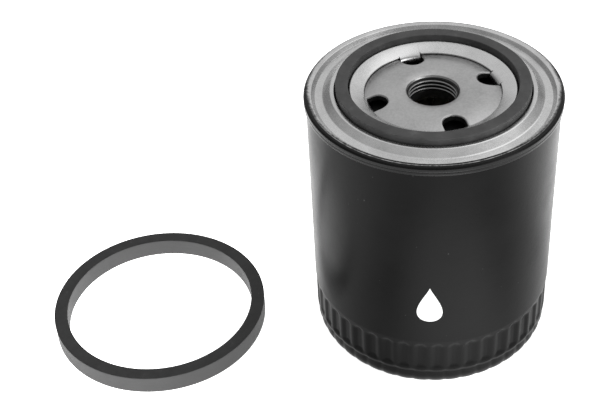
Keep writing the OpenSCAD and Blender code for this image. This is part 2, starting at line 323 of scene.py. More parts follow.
def rim_finish():
    """Zinc on the seam's inner side, with black paint sprayed over its outer side. The paint's edge lies
    further in at the front than at the back: painted shade at the front, painted highlight of bare zinc at
    the back. At the front the paint covers all of the crest but a thin bare line, a painted highlight."""
    paint_front, paint_back = 44.6 * MM, 47.8 * MM      # radii where the paint starts
    highlight_line_r = 46.3 * MM
    look = Look("rim_finish", specular=0.15)
    base, rough, normal = zinc_shade(look)
    r, y = look.radius(), look.depth()
    drift = look.math("ADD", look.remap(look.noise(60, 2, 0.5), 0.35, 0.65, -0.0002, 0.0002),
                      look.remap(look.noise(900, 4, 0.7), 0.3, 0.7, -0.0003, 0.0003))
    # The paint's edge moves out from front to back: painted shade at the front, painted highlight at the
    # back.
    limit = look.remap(y, -SEAM_R * MM, SEAM_R * MM, paint_front, paint_back, smooth=False)
    spray_and_painted_light = look.remap(look.math("SUBTRACT", look.math("ADD", r, drift), limit), -0.0004, 0.0009, 0, 1)
    spray_and_painted_light = look.math("POWER", spray_and_painted_light, 0.6)
    # A bare zinc line on the crest at the front only: a painted highlight.
    painted_highlight_line = look.math("ABSOLUTE", look.math("SUBTRACT", r, highlight_line_r))
    painted_highlight_line = look.remap(painted_highlight_line, 0.08 * MM, 0.3 * MM, 0.75, 0)
    painted_highlight_line = look.math("MULTIPLY", painted_highlight_line, look.remap(y, -0.044, -0.008, 1, 0))
    painted_highlight_line = look.math("MULTIPLY", painted_highlight_line, look.remap(look.noise(520, 3, 0.6), 0.35, 0.6, 0.3, 1))
    spray_and_painted_light = look.math("MULTIPLY", spray_and_painted_light, look.math("SUBTRACT", 1.0, painted_highlight_line))
    base = look.mix(spray_and_painted_light, base, 0.005)
    rough = look.math("MULTIPLY_ADD", spray_and_painted_light, 0.02, rough)
    return look.finish(base, rough, normal, look.math("SUBTRACT", 1.0, spray_and_painted_light))


def bare_steel():
    """Satin steel, with painted shade darkening the roots of the thread."""
    look = Look("bare_steel", metallic=1.0)
    broad = look.noise(70, 5, 0.6)
    fine = look.noise(1100, 4, 0.7)
    grain = look.noise(4200, 3, 0.6)
    shade = look.math("ADD", look.remap(broad, 0.3, 0.7, 0.0, 0.5), look.remap(fine, 0.32, 0.68, 0.0, 0.5))
    base = look.mix(shade, 0.34, 0.50)
    r = look.radius()
    # Painted shade: the thread's roots darkened.
    root_shade = look.math("MULTIPLY", look.remap(r, (MINOR_R + 0.08) * MM, (MINOR_R + 0.4) * MM, 0, 1),
                     look.remap(r, (MAJOR_R + 0.025) * MM, (MAJOR_R + 0.125) * MM, 1, 0))
    base = look.mix(root_shade, base, 0.035)
    rough = look.math("ADD", look.remap(broad, 0.3, 0.7, 0.32, 0.42), look.remap(fine, 0.3, 0.7, -0.04, 0.06))
    normal = look.bump(broad, 0.05, 0.0010)
    normal = look.bump(fine, 0.40, 0.00012, normal)
    normal = look.bump(grain, 0.12, 0.00003, normal)
    return look.finish(base, rough, normal)


def cut_edge_painted_shade():
    """Sheared metal inside the slots, painted near-black as the shade down in them."""
    look = Look("cut_edge_painted_shade", metallic=0.6, specular=0.3)
    tear = look.noise(1400, 3, 0.7, (1, 1, 0.3))
    # Near-black: painted shade inside the slots.
    base = look.mix(look.remap(tear, 0.3, 0.7, 0, 1), 0.015, 0.035)
    return look.finish(base, look.remap(tear, 0.3, 0.7, 0.45, 0.6), look.bump(tear, 0.25, 0.00008))


def rubber(name, dark, light, rough=0.62, painted_side_light=0.0):
    """Matt rubber; its upright sides can be lightened, as painted light from the side."""
    look = Look(name, specular=0.25)
    broad = look.noise(130, 4, 0.6)
    fine = look.noise(2400, 4, 0.7)
    bloom = look.remap(look.noise(260, 3, 0.65), 0.62, 0.74, 0, 1)
    base = look.mix(look.remap(broad, 0.3, 0.7, 0, 1), dark, light)
    base = look.mix(look.math("MULTIPLY", bloom, 0.22), base, light * 2.4)
    # Upright sides lightened: painted light from the side.
    if painted_side_light:
        facing = look.node("ShaderNodeTexCoord").outputs["Normal"]
        upward = look.node("ShaderNodeSeparateXYZ", {0: facing}).outputs[2]
        side = look.remap(look.math("ABSOLUTE", upward), 0.35, 0.85, 1, 0)
        base = look.mix(side, base, painted_side_light)
    coarse = look.math("ADD", look.remap(broad, 0.3, 0.7, rough - 0.04, rough + 0.05),
                       look.remap(fine, 0.3, 0.7, -0.03, 0.03))
    normal = look.bump(fine, 0.35, 0.00005)
    normal = look.bump(look.noise(500, 2, 0.5), 0.10, 0.0001, normal)
    return look.finish(base, coarse, normal)


def tin_plate():
    look = Look("tinplate", metallic=1.0)
    broad = look.noise(120, 4, 0.6)
    streaks = look.noise(900, 3, 0.6, (1, 1, 0.08))
    base = look.mix(look.remap(broad, 0.3, 0.7, 0, 1), (0.50, 0.49, 0.45), (0.66, 0.64, 0.58))
    rough = look.remap(streaks, 0.3, 0.7, 0.26, 0.42)
    return look.finish(base, rough, look.bump(streaks, 0.08, 0.00005))


def spring_steel():
    look = Look("spring_steel", metallic=1.0)
    draw = look.noise(2200, 2, 0.5, (1, 1, 0.2))
    base = look.mix(look.remap(draw, 0.3, 0.7, 0, 1), 0.34, 0.48)
    return look.finish(base, look.remap(draw, 0.3, 0.7, 0.22, 0.38), look.bump(draw, 0.1, 0.00003))


def brass():
    look = Look("seat_brass", metallic=1.0)
    lines = look.noise(1800, 2, 0.5, (0.1, 0.1, 1))
    base = look.mix(look.remap(lines, 0.3, 0.7, 0, 1), (0.55, 0.40, 0.16), (0.70, 0.53, 0.24))
    return look.finish(base, look.remap(lines, 0.3, 0.7, 0.2, 0.34), look.bump(lines, 0.1, 0.00003))


def filter_paper():
    look = Look("filter_paper", specular=0.2, Sheen_Weight=0.15)
    fibre = look.noise(900, 5, 0.7, (1, 1, 0.35))
    blot = look.noise(60, 3, 0.5)
    base = look.mix(look.remap(fibre, 0.3, 0.7, 0, 1), (0.62, 0.46, 0.22), (0.78, 0.62, 0.34))
    base = look.mix(look.remap(blot, 0.45, 0.7, 0, 0.3), base, (0.52, 0.38, 0.18))
    return look.finish(base, look.remap(fibre, 0.3, 0.7, 0.8, 0.95), look.bump(fibre, 0.5, 0.0001))


def resin(name, dark, light):
    look = Look(name, specular=0.4)
    cloud = look.noise(150, 4, 0.6)
    pits = look.noise(1300, 2, 0.5)
    base = look.mix(look.remap(cloud, 0.3, 0.7, 0, 1), dark, light)
    return look.finish(base, look.remap(cloud, 0.3, 0.7, 0.38, 0.55), look.bump(pits, 0.2, 0.0001))


def print_ink():
    look = Look("white_ink", specular=0.3)
    wear = look.noise(1600, 3, 0.6)
    base = look.mix(look.remap(wear, 0.35, 0.65, 0, 1), 0.80, 0.90)
    return look.finish(base, look.remap(wear, 0.3, 0.7, 0.42, 0.55), look.bump(wear, 0.08, 0.00003))


PAINT, ZINC, RIM, STEEL, SLOT_SHADE = black_paint(), zinc_plate(), rim_finish(), bare_steel(), cut_edge_painted_shade()
SEAL_RUBBER = rubber("seal_rubber", 0.062, 0.094)
# Its upright sides are lightened as painted light from the side.
LOOSE_RUBBER = rubber("loose_seal_rubber", 0.034, 0.050, painted_side_light=0.085)
VALVE_RUBBER = rubber("valve_rubber", 0.012, 0.020, 0.5)
TIN, SPRING, BRASS, PAPER = tin_plate(), spring_steel(), brass(), filter_paper()
POTTING = resin("potting_resin", (0.46, 0.33, 0.15), (0.62, 0.47, 0.25))
SEALANT = resin("seam_compound", (0.26, 0.08, 0.06), (0.38, 0.13, 0.10))
INK = print_ink()


# ---------------------------------------------------------------- the can

FLUTES = 45
PITCH = TAU / FLUTES
FLUTE_AT = math.radians(2)          # azimuth of the first flute's middle
FLUTE_HALF = 2.5
FLUTE_LOW, FLUTE_HIGH = 10.9, 24.3
FLUTE_DEPTH = 0.65
FLUTE_SOFT = (-0.6, 1.9)            # distances inside its outline where a flute starts and is full
FOOT_EDGE = 1.3                     # rounding of a flute's lower corners
FOOT_R = RIB_R - 0.25               # wall under the flutes
CAN_IN = 44.7                       # inside of the can behind the flutes
CORNER = 6.9                        # rounding of the closed end's edge
NOTCH_DEPTH, NOTCH_WIDTH = 0.22, 1.2
NOTCH_LOW, NOTCH_HIGH = (0.3, 2.2), (9.2, 10.8)     # heights where the edge's notches fade in and out
EDGE_IN, EDGE_SPAN = 39.0, 7.0      # radius where the rounded edge begins, and its width
EDGE_Z = 8.0                        # height where it meets the wall
FINE_STEP, BROAD_STEP = 0.33, 6.0   # spacing of the outline's points at the flutes and elsewhere
FINE_LOW, FINE_HIGH = 6.0, 26.0     # heights between which the points are fine


def flute_depth(u, z):
    """How far the wall is pressed in at arc distance u from a flute's middle."""
    arch_z = FLUTE_HIGH - FLUTE_HALF
    qx = np.abs(u) - (FLUTE_HALF - FOOT_EDGE)
    qz = FLUTE_LOW + FOOT_EDGE - z
    outside = np.hypot(np.maximum(qx, 0), np.maximum(qz, 0))
    box = FOOT_EDGE - (outside + np.minimum(np.maximum(qx, qz), 0))
    arch = FLUTE_HALF - np.hypot(u, np.maximum(z - arch_z, 0))
    inside = np.minimum(box, arch)
    return FLUTE_DEPTH * smooth_step(inside, *FLUTE_SOFT)


def notch_depth(u, z):
    """The rounded edge's small notches, which continue each rib downwards."""
    notch = np.exp(-((np.abs(u) - PITCH * RIB_R / 2) / NOTCH_WIDTH) ** 2)
    return NOTCH_DEPTH * notch * smooth_step(z, *NOTCH_LOW) * (1 - smooth_step(z, *NOTCH_HIGH))


def can_outline():
    """The can's outside from its middle to the seam, then its inside back to the middle, as (r, z)."""
    corner = [(FOOT_R - CORNER * (1 - math.sin(a)), CORNER * (1 - math.cos(a)), 0)
              for a in np.linspace(0, math.pi / 2, 14)]
    outside = [
        (0, 2.0, 0), (8, 2.0, 1), (9, 1.45, 1), (14.5, 1.45, 1), (15.5, 2.0, 1), (24.6, 2.0, 1.2),
        (26.8, 0, 1.2), *corner, (FOOT_R, 8.9, 0.8), (RIB_R, 10.1, 0.8), (RIB_R, 23.0, 1), (WALL_R, 25.6, 1),
        (WALL_R, 107.5, 0), (WALL_R, 108.2, 0.5), (47.5, 108.6, 0.2), (47.5, 109.4, 0.2)]
    inside = [
        (46.4, 109.4, 0.3), (46.4, 26, 2), (CAN_IN, 23, 2), (CAN_IN, 0.8, 9.5), (28.0, 0.8, 1),
        (26.8, 2.8, 1), (0, 2.8, 0)]
    line = rounded(outside + inside, steps=9, closed=False)
    fine = []
    for a, b in zip(line[:-1], line[1:]):
        in_flutes = max(a[1], b[1]) > FINE_LOW and min(a[1], b[1]) < FINE_HIGH
        on_outside = min(a[0], b[0]) > CAN_IN - 0.2
        step = FINE_STEP if in_flutes and on_outside else BROAD_STEP
        n = max(1, math.ceil(np.linalg.norm(b - a) / step))
        fine += [a + (b - a) * k / n for k in range(n)]
    return np.array(fine + [line[-1]])


def build_can():
    """The can, with its flutes and the notches of its rounded edge pressed in."""
    outline = can_outline()
    steps = FLUTES * 20
    angles = np.arange(steps) * TAU / steps
    r, z = (outline[:, k, None] + 0 * angles for k in (0, 1))
    top = int(np.argmax(outline[:, 1]))
    outer = (np.arange(len(outline)) <= top)[:, None]
    u = ((angles - FLUTE_AT + PITCH / 2) % PITCH - PITCH / 2) * RIB_R
    pressed = outer & (r > EDGE_IN)
    fade = np.sqrt(np.clip((r - EDGE_IN) / EDGE_SPAN, 0, 1))
    shift = flute_depth(u, z) * (z > EDGE_Z) + notch_depth(u, z)
    shift = np.where(pressed, shift, 0) * np.where(z < EDGE_Z, fade, 1)
    lift = np.where(pressed & (z < EDGE_Z), shift * 0.5 * (1 - z / EDGE_Z), 0)
    verts = ring_verts(r - shift, z + lift, angles)
    faces = grid_faces(len(outline), steps, close_rows=False)
    add_piece("can_body", verts, faces, PAINT, "canister", ["canister_shell"], 60)


build_can()


# ---------------------------------------------------------------- cover and rolled seam

INNER_POINTS = 22                   # points on the cover's inner edge
INNER_TOP = (26.4, CREST_Z - 0.41)  # where the cone's upper face meets that edge
INNER_LOW = (26.4, CREST_Z - 1.06)  # and its lower face
TAB_R = 25.2                        # radius where a tab's width is measured
TAB_HALF = 4.0
TAB_GAP = 0.3                       # notch beside each tab
COVER_STEP = 0.75                   # degrees between the cover's columns of points
HAIR = 0.03                         # degrees on each side of a step in the inner edge


def cover_edge(kind):
    """The cover's inner edge from its top side round to its lower side."""
    if kind == "tab":
        line = [(25.7, CREST_Z - 0.78, 1), (24.9, CREST_Z - 1.35, 1), (24.35, CREST_Z - 2.1, 1),
                (24.05, CREST_Z - 3.3, 0.25), (24.6, CREST_Z - 3.4, 0.25), (24.95, CREST_Z - 2.3, 1),
                (25.6, CREST_Z - 1.55, 1)]
    elif kind == "notch":
        line = [(25.9, CREST_Z - 0.64, 0.12), (25.95, CREST_Z - 1.24, 0.12)]
    else:
        line = [(25.4, CREST_Z - 0.87, 0.22), (25.45, CREST_Z - 1.47, 0.15)]
    return resampled(rounded([INNER_TOP, *line, INNER_LOW], steps=5, closed=False), INNER_POINTS)


def build_cover():
    """The cover: cone, seal channel, lip and valley, with four tabs bent down into the slots."""
    top = rounded([
        INNER_TOP, (30.9, CREST_Z + 1.32, 0.45), (31.2, CREST_Z - 2.2, 0.35),
        (36.3, CREST_Z - 2.2, 0.35), (36.35, CREST_Z + 0.9, 0.45), (38.0, CREST_Z + 0.9, 0.9),
        (40.9, CREST_Z - 1.35, 1.4), (44.15, CREST_Z - 1.6, 0.2), (44.15, CREST_Z - 2.2, 0.2),
        (40.7, CREST_Z - 1.95, 1.0), (37.8, CREST_Z + 0.3, 0.4), (36.9, CREST_Z + 0.3, 0.2),
        (36.9, CREST_Z - 2.8, 0.2), (30.6, CREST_Z - 2.8, 0.2), (30.6, CREST_Z + 0.55, 0.3),
        INNER_LOW], steps=6, closed=False)[1:-1]
    tab_edge = math.degrees(math.asin(TAB_HALF / TAB_R))
    notch_edge = math.degrees(math.asin((TAB_HALF + TAB_GAP) / TAB_R))
    jumps = (tab_edge, notch_edge)
    even = [a for a in np.arange(-45, 45, COVER_STEP) if all(abs(abs(a) - e) > 0.2 for e in jumps)]
    paired = [side * (e + h) for side in (-1, 1) for e in jumps for h in (-HAIR, HAIR)]
    angles, kinds = [], []
    for k in range(SLOTS):
        for a in sorted(even + paired):
            angles.append(SLOT_TURN + math.radians(90 * k + a))
            kinds.append("tab" if abs(a) < tab_edge else "notch" if abs(a) < notch_edge else "edge")
    edges = {kind: cover_edge(kind)[::-1] for kind in ("tab", "notch", "edge")}
    r = np.stack([np.concatenate([edges[k][:, 0], top[:, 0]]) for k in kinds], 1)
    z = np.stack([np.concatenate([edges[k][:, 1], top[:, 1]]) for k in kinds], 1)
    verts = ring_verts(r, z, np.array(angles))
    faces = grid_faces(r.shape[0], r.shape[1])
    add_piece("cover", verts, faces, ZINC, "canister", ["cover_plate"], 35)


def build_seam():
    """The rolled seam, with a crest that is slightly uneven round the can."""
    outline = split_long(rounded([
        (43.4, CREST_Z - 1.6, 0.02), (43.75, CREST_Z - 1.53, 0.25), (45.1, CREST_Z - 0.17, 0.5),
        (46.3, CREST_Z + 0.05, 0.9), (47.4, CREST_Z - 0.1, 0.5), (SEAM_R, CREST_Z - 0.65, 0.5),
        (SEAM_R, CREST_Z - 1.7, 0.3), (47.85, CREST_Z - 2.0, 0.3), (SEAM_R - 0.02, CREST_Z - 2.35, 0.3),
        (SEAM_R - 0.05, CREST_Z - 3.1, 0.4), (47.7, CREST_Z - 3.5, 0.2), (47.25, CREST_Z - 3.5, 0.1),
        (47.25, CREST_Z - 1.6, 0.3), (44.5, CREST_Z - 2.0, 0.2), (43.85, CREST_Z - 1.8, 0.02)], steps=6), 0.4)
    steps = 720
    angles = np.arange(steps) * TAU / steps
    wave = 0.03 * np.sin(5 * angles + 1) + 0.02 * np.sin(11 * angles)
    z = outline[:, 1][:, None] + wave * smooth_step(outline[:, 1], CREST_Z - 0.6, CREST_Z)[:, None] - 0.05
    verts = ring_verts(outline[:, 0][:, None] + 0 * z, z, angles)
    add_piece("rolled_seam", verts, grid_faces(len(outline), steps), RIM, "canister", sharp=50)


build_cover()
build_seam()


# ---------------------------------------------------------------- tapping plate

NECK_R = 12.0
MOUTH_AT = 12.6                     # radius where the mouth's rounding leaves the plate's top
MOUTH_IN, MOUTH_DROP = 9.6, 1.3     # inner end of that rounding, and how far it falls
THREAD_PITCH = 1.5875
THREAD_LOW = 103.1                  # where the thread ends and the plain bore begins
CREST_FLAT, ROOT_FLAT = 0.17, 0.08  # half widths of the thread's flats
LEAD = 0.35                         # from the mouth's lower end to the first crest
ABOVE = 0.12                        # how far over that end the helix starts, to be cut level there
RUN_OUT = 1.3                       # slope of the thread's two ends
BORE_R = 9.75
PLATE_T = 2.6
SLOT_HALF = 4.3                     # half of a slot's width
SLOT_MID, SLOT_END = 22.1, 28.0     # middle of its round inner end, and its outer end
SLOT_CENTRE = SLOT_MID + 1.8        # point that the slot's outline is seen from when it is matched
SLOT_EDGE = 0.70                    # rolled-over upper edge of each slot
SLOT_BREAK = 0.15                   # broken lower edge
# How far the plate's upper face has dropped at each radius
DOME = np.array([(0, 0), (15.5, 0), (18, 0.02), (20, 0.14), (22, 0.48), (24, 1.0), (26, 1.65), (28, 2.32),
                 (29.6, 2.69), (31.5, 2.75), (60, 2.75)])
COLUMNS = 240                       # points round the plate


def dome_z(r):
    """Height of the plate's upper face: a smooth line through the dome's points."""
    x, y = DOME[:, 0], DOME[:, 1]
    slope = np.gradient(y, x)
    slope[[0, 1, -1, -2]] = 0
    r = np.clip(r, 0, 59.9)
    i = np.clip(np.searchsorted(x, r, side="right") - 1, 0, len(x) - 2)
    h = x[i + 1] - x[i]
    t = (r - x[i]) / h
    drop = ((2 * t**3 - 3 * t**2 + 1) * y[i] + (t**3 - 2 * t**2 + t) * h * slope[i]
            + (3 * t**2 - 2 * t**3) * y[i + 1] + (t**3 - t**2) * h * slope[i + 1])
    return PLATE_TOP - drop


def slot_outline():
    """The slot's outline about its own middle line, anticlockwise, as dense points."""
    arc = np.linspace(math.pi / 2, 3 * math.pi / 2, 90)
    round_end = np.stack([SLOT_MID + SLOT_HALF * np.cos(arc), SLOT_HALF * np.sin(arc)], -1)
    corners = rounded([(SLOT_MID, -SLOT_HALF), (SLOT_END, -SLOT_HALF, 0.8), (SLOT_END, SLOT_HALF, 0.8),
                       (SLOT_MID, SLOT_HALF)], steps=8, closed=False)
    return split_long(np.concatenate([round_end, corners[1:-1]]), 0.12)


def sector_loop(inner_r):
    """Outline of a quarter of the plate about the slot's line, anticlockwise from its inner arc."""
    quarter = COLUMNS // SLOTS
    arc = np.linspace(-math.pi / 4, math.pi / 4, quarter + 1)
    side = np.linspace(0, 1, 37)[1:-1]
    side_r = inner_r + (PLATE_R - inner_r) * side
    inner = [(inner_r * math.cos(a), inner_r * math.sin(a)) for a in arc[::-1]]
    low = [(q * math.cos(arc[0]), q * math.sin(arc[0])) for q in side_r]
    outer = [(PLATE_R * math.cos(a), PLATE_R * math.sin(a)) for a in arc]
    high = [(q * math.cos(arc[-1]), q * math.sin(arc[-1])) for q in side_r[::-1]]
    return np.array(inner + low + outer + high)


def slot_rings(inner_r):
    """Matching loops: the sector's outline, and the slot's outline with its outward normals."""
    middle = np.array([SLOT_CENTRE, 0.0])
    slot = slot_outline()
    nxt, prv = np.roll(slot, -1, 0), np.roll(slot, 1, 0)
    tangent = nxt - prv
    normal = np.stack([tangent[:, 1], -tangent[:, 0]], -1)
    normal /= np.linalg.norm(normal, axis=1)[:, None]
    bearing = np.arctan2(slot[:, 1] - middle[1], slot[:, 0] - middle[0])
    order = np.argsort(bearing)
    slot, normal, bearing = slot[order], normal[order], bearing[order]
    if np.mean(np.sum(normal * (slot - middle), 1)) < 0:
        normal = -normal
    loop = sector_loop(inner_r)
    want = np.arctan2(loop[:, 1] - middle[1], loop[:, 0] - middle[0])
    at = [np.interp(want, bearing, column, period=TAU) for column in (*slot.T, *normal.T)]
    return loop, np.stack(at[:2], -1), np.stack(at[2:], -1)


def plate_quarter(turn):
    """One quarter of the plate with its slot: upper face, slot wall and lower face."""
    loop, slot, normal = slot_rings(MOUTH_AT)
    under, slot_low, normal_low = slot_rings(NECK_R + 0.8)
    rings = []
    for t in np.linspace(1, 0, 30):
        xy = slot + normal * SLOT_EDGE + (loop - slot - normal * SLOT_EDGE) * t ** 1.25
        rings.append(np.column_stack([xy, dome_z(np.hypot(*xy.T))]))
    for a in np.linspace(0, math.pi / 2, 7)[1:]:
        xy = slot + normal * SLOT_EDGE * (1 - math.sin(a))
        rings.append(np.column_stack([xy, dome_z(np.hypot(*xy.T)) - SLOT_EDGE * (1 - math.cos(a))]))
    rings.append(np.column_stack([slot_low, dome_z(np.hypot(*slot_low.T)) - PLATE_T + SLOT_BREAK]))
    for t in np.linspace(0, 1, 14):
        start = slot_low + normal_low * SLOT_BREAK
        xy = start + (under - start) * t
        rings.append(np.column_stack([xy, dome_z(np.hypot(*xy.T)) - PLATE_T]))
    verts = np.concatenate(rings)
    c, s = math.cos(turn), math.sin(turn)
    x, y = verts[:, 0] * c - verts[:, 1] * s, verts[:, 0] * s + verts[:, 1] * c
    return np.stack([x, y, verts[:, 2]], -1), grid_faces(len(rings), len(loop), close_rows=False)


def thread_radius(along):
    """Radius of the thread's surface at a distance along the axis from a crest's middle."""
    off = np.abs((along + THREAD_PITCH / 2) % THREAD_PITCH - THREAD_PITCH / 2)
    rise = np.clip((off - CREST_FLAT) / (THREAD_PITCH / 2 - CREST_FLAT - ROOT_FLAT), 0, 1)
    return MINOR_R + (MAJOR_R - MINOR_R) * (rise * 0.75 + 0.25 * smooth_step(rise, 0, 1))


def neck_threads():
    """A true right-handed helix between the mouth and the plain bore."""
    mouth_z = PLATE_TOP - MOUTH_DROP
    per_turn = 18
    angles = SLOT_TURN - math.pi / 4 + np.arange(COLUMNS + 1) * TAU / COLUMNS
    helix = THREAD_PITCH * np.arange(COLUMNS + 1) / COLUMNS
    rows = math.ceil((mouth_z - THREAD_LOW) / THREAD_PITCH + 1) * per_turn
    fall = np.arange(rows + 1)[:, None] * THREAD_PITCH / per_turn
    z = np.clip(mouth_z + ABOVE - fall + helix, THREAD_LOW, mouth_z)
    r = thread_radius(z - helix - mouth_z + LEAD)
    r = np.maximum(r, MOUTH_IN - (mouth_z - z) * RUN_OUT)
    r = np.maximum(r, BORE_R - (z - THREAD_LOW) * RUN_OUT)
    r[z >= mouth_z - 1e-9] = MOUTH_IN
    r[z <= THREAD_LOW + 1e-9] = BORE_R
    return ring_verts(r, z, angles), grid_faces(*r.shape, close_rows=False, close_cols=False)


def build_plate():
    """The tapping plate: four quarters with a slot each, the neck's mouth, its sleeve and its thread."""
    parts = [plate_quarter(SLOT_TURN + TAU * k / SLOTS) for k in range(SLOTS)]
    angles = SLOT_TURN - math.pi / 4 + np.arange(COLUMNS) * TAU / COLUMNS
    mouth = rounded([(MOUTH_AT, PLATE_TOP), (11.6, PLATE_TOP - 0.16, 1), (10.6, PLATE_TOP - 0.38, 1),
                     (9.9, PLATE_TOP - 0.62, 0.5), (MOUTH_IN, PLATE_TOP - MOUTH_DROP)], steps=6, closed=False)
    sleeve = rounded([(BORE_R, THREAD_LOW), (BORE_R, NECK_LOW, 0.35), (NECK_R, NECK_LOW, 0.35),
                      (NECK_R, PLATE_TOP - PLATE_T, 0.7), (NECK_R + 0.8, PLATE_TOP - PLATE_T)],
                     steps=5, closed=False)
    rim_low = float(dome_z(PLATE_R)) - PLATE_T
    edge = np.array([(PLATE_R, rim_low + PLATE_T), (PLATE_R, rim_low)])
    for line in (mouth, sleeve, edge):
        parts.append((ring_verts(line[:, 0], line[:, 1], angles),
                      grid_faces(len(line), COLUMNS, close_rows=False)))
    parts.append(neck_threads())
    verts, faces, count = [], [], 0
    for v, f in parts:
        verts.append(v)
        faces.append(f + count)
        count += len(v)
    verts, faces = np.concatenate(verts), np.concatenate(faces)
    middle = verts[faces].mean(1)
    r = np.hypot(middle[:, 0], middle[:, 1])
    # Faces below the slots' rolled edges get the near-black painted shade.
    painted_shade_faces = (r > NECK_R + 0.2) & (middle[:, 2] < dome_z(r) - SLOT_EDGE)
    add_piece("tapping_plate_body", verts, faces, STEEL, "canister", ["tapping_plate"], 42,
              second=(SLOT_SHADE, painted_shade_faces))


build_plate()


# ---------------------------------------------------------------- seals

def seal_outline(r_out, r_in, low, high):
    """A lathe-cut square seal with slightly broken edges and faintly hollow sides."""
    mid = (low + high) / 2
    return split_long(rounded([
        (r_in, low, 0.25), (r_in + 0.05, mid, 1), (r_in, high, 0.28), ((r_in + r_out) / 2, high, 0),
        (r_out, high, 0.28), (r_out - 0.05, mid, 1), (r_out, low, 0.25)], steps=5), 0.8)


turned("seal_fitted", seal_outline(SEAL_OUT, SEAL_IN, SEAL_LOW, SEAL_TOP), SEAL_RUBBER, "canister",
       ["fitted_seal"], 360)

loose_low, loose_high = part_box("loose_outer_seal")
LOOSE_AT = ((loose_low.x + loose_high.x) / 2 / MM, (loose_low.y + loose_high.y) / 2 / MM)
LOOSE_OUT = (loose_high.x - loose_low.x) / 2 / MM
LOOSE_WIDE = 5.5                    # width of its section
turned("seal_loose", seal_outline(LOOSE_OUT, LOOSE_OUT - LOOSE_WIDE, 0, loose_high.z / MM), LOOSE_RUBBER,
       "loose_seal", ["loose_outer_seal"], 360, LOOSE_AT)


# ---------------------------------------------------------------- valves and element

CAP_LOW, CAP_HIGH = 14.2, 98.4      # outer faces of the element's two caps
CAP_RIM = 4.2                       # height of a cap's rim
POTTING_LOW, POTTING_HIGH = 15.05, 95.65
POTTING_T = 1.9
PAPER_LOW, PAPER_HIGH = 17.0, 95.6
SMALL_STEPS = 96                    # steps round the small turned pieces

turned("check_valve_rubber", rounded([
    (12.3, 103.6), (14.5, 103.6, 1.2), (30.0, 103.0, 1.4), (34.5, 104.75, 0.12), (33.5, 104.75, 0.12),
    (29.5, 104.1, 1.2), (14.5, 104.7, 0.8), (13.9, 106.2, 0.4), (12.3, 106.2, 0.3)]),
    VALVE_RUBBER, "check_valve", ["anti_drain_valve"])
turned("neck_seal_ring", rounded([
    (12.1, 98.45, 0.4), (14.6, 98.45, 0.4), (14.6, 101.8, 0.5), (13.35, 101.5, 0.6), (12.1, 101.8, 0.5)]),
    VALVE_RUBBER, "filter_element", ["neck_seal"])


def cap_outline(inner_r, plane, rim, up):
    """A pressed end cap: flat washer, one stiffening bead and an outer rim; up is 1 or -1."""
    t = 0.8 * up
    return rounded([
        (inner_r, plane), (inner_r, plane + t), (25.0, plane + t, 0.8), (26.0, plane + 1.35 * t, 0.8),
        (28.0, plane + 1.35 * t, 0.8), (29.0, plane + t, 0.8), (39.0, plane + t, 0.2), (39.0, rim, 0.2),
        (39.8, rim, 0.2), (39.8, plane, 0.9), (29.4, plane, 0.8), (28.4, plane + 0.4 * t, 0.8),
        (25.6, plane + 0.4 * t, 0.8), (24.6, plane, 0.8)], 0.2, 3)


turned("element_cap_low", cap_outline(7.95, CAP_LOW, CAP_LOW + CAP_RIM, 1), TIN, "filter_element",
       ["element_bottom_cap"])
turned("element_cap_high", cap_outline(12.6, CAP_HIGH, CAP_HIGH - CAP_RIM, -1), TIN, "filter_element",
       ["element_top_cap"])


def potting(name, node, back, up):
    """A ring of resin against a cap, with a dished face towards the paper; up is 1 or -1."""
    face = back + POTTING_T * up
    dish = face - 0.35 * up
    outline = rounded([(18.1, back, 0.2), (18.1, face, 0.3), (19.6, dish, 1), (37.2, dish, 1),
                       (38.8, face, 0.3), (38.8, back, 0.3)])
    turned(name, outline, POTTING, "filter_element", [node])


potting("potting_low", "bottom_potting", POTTING_LOW, 1)
potting("potting_high", "top_potting", POTTING_HIGH + POTTING_T, -1)
turned("bypass_seat_ring", rounded([
    (6.0, 13.6), (7.9, 13.6), (7.9, 15.05, 0.1), (9.4, 15.05), (9.4, 15.85), (7.9, 15.85, 0.2), (7.6, 16.4),
    (6.3, 16.4), (6.0, 16.0)], 0.12, 3), BRASS, "filter_element", ["bypass_seat"], SMALL_STEPS)
turned("bypass_disc", rounded([(1.55, 16.46), (7.6, 16.46), (7.6, 17.41), (1.55, 17.41)], 0.15, 3),
       VALVE_RUBBER, "bypass_valve", ["bypass_disc_seal"], SMALL_STEPS)
poppet_side = rounded([
    (0, 16.06), (1.5, 16.06, 0.3), (1.5, 17.46, 0.05), (8.2, 17.46, 0.3), (8.2, 18.26, 0.3),
    (3.6, 18.26, 0.3), (3.6, 21.06, 0.5), (0, 21.06)], 0.2, 4, closed=False)
poppet_angles = np.arange(SMALL_STEPS) * TAU / SMALL_STEPS
add_piece("bypass_poppet_body", ring_verts(poppet_side[:, 0], poppet_side[:, 1], poppet_angles),
          grid_faces(len(poppet_side), SMALL_STEPS, close_rows=False), STEEL, "bypass_valve",
          ["bypass_poppet"])


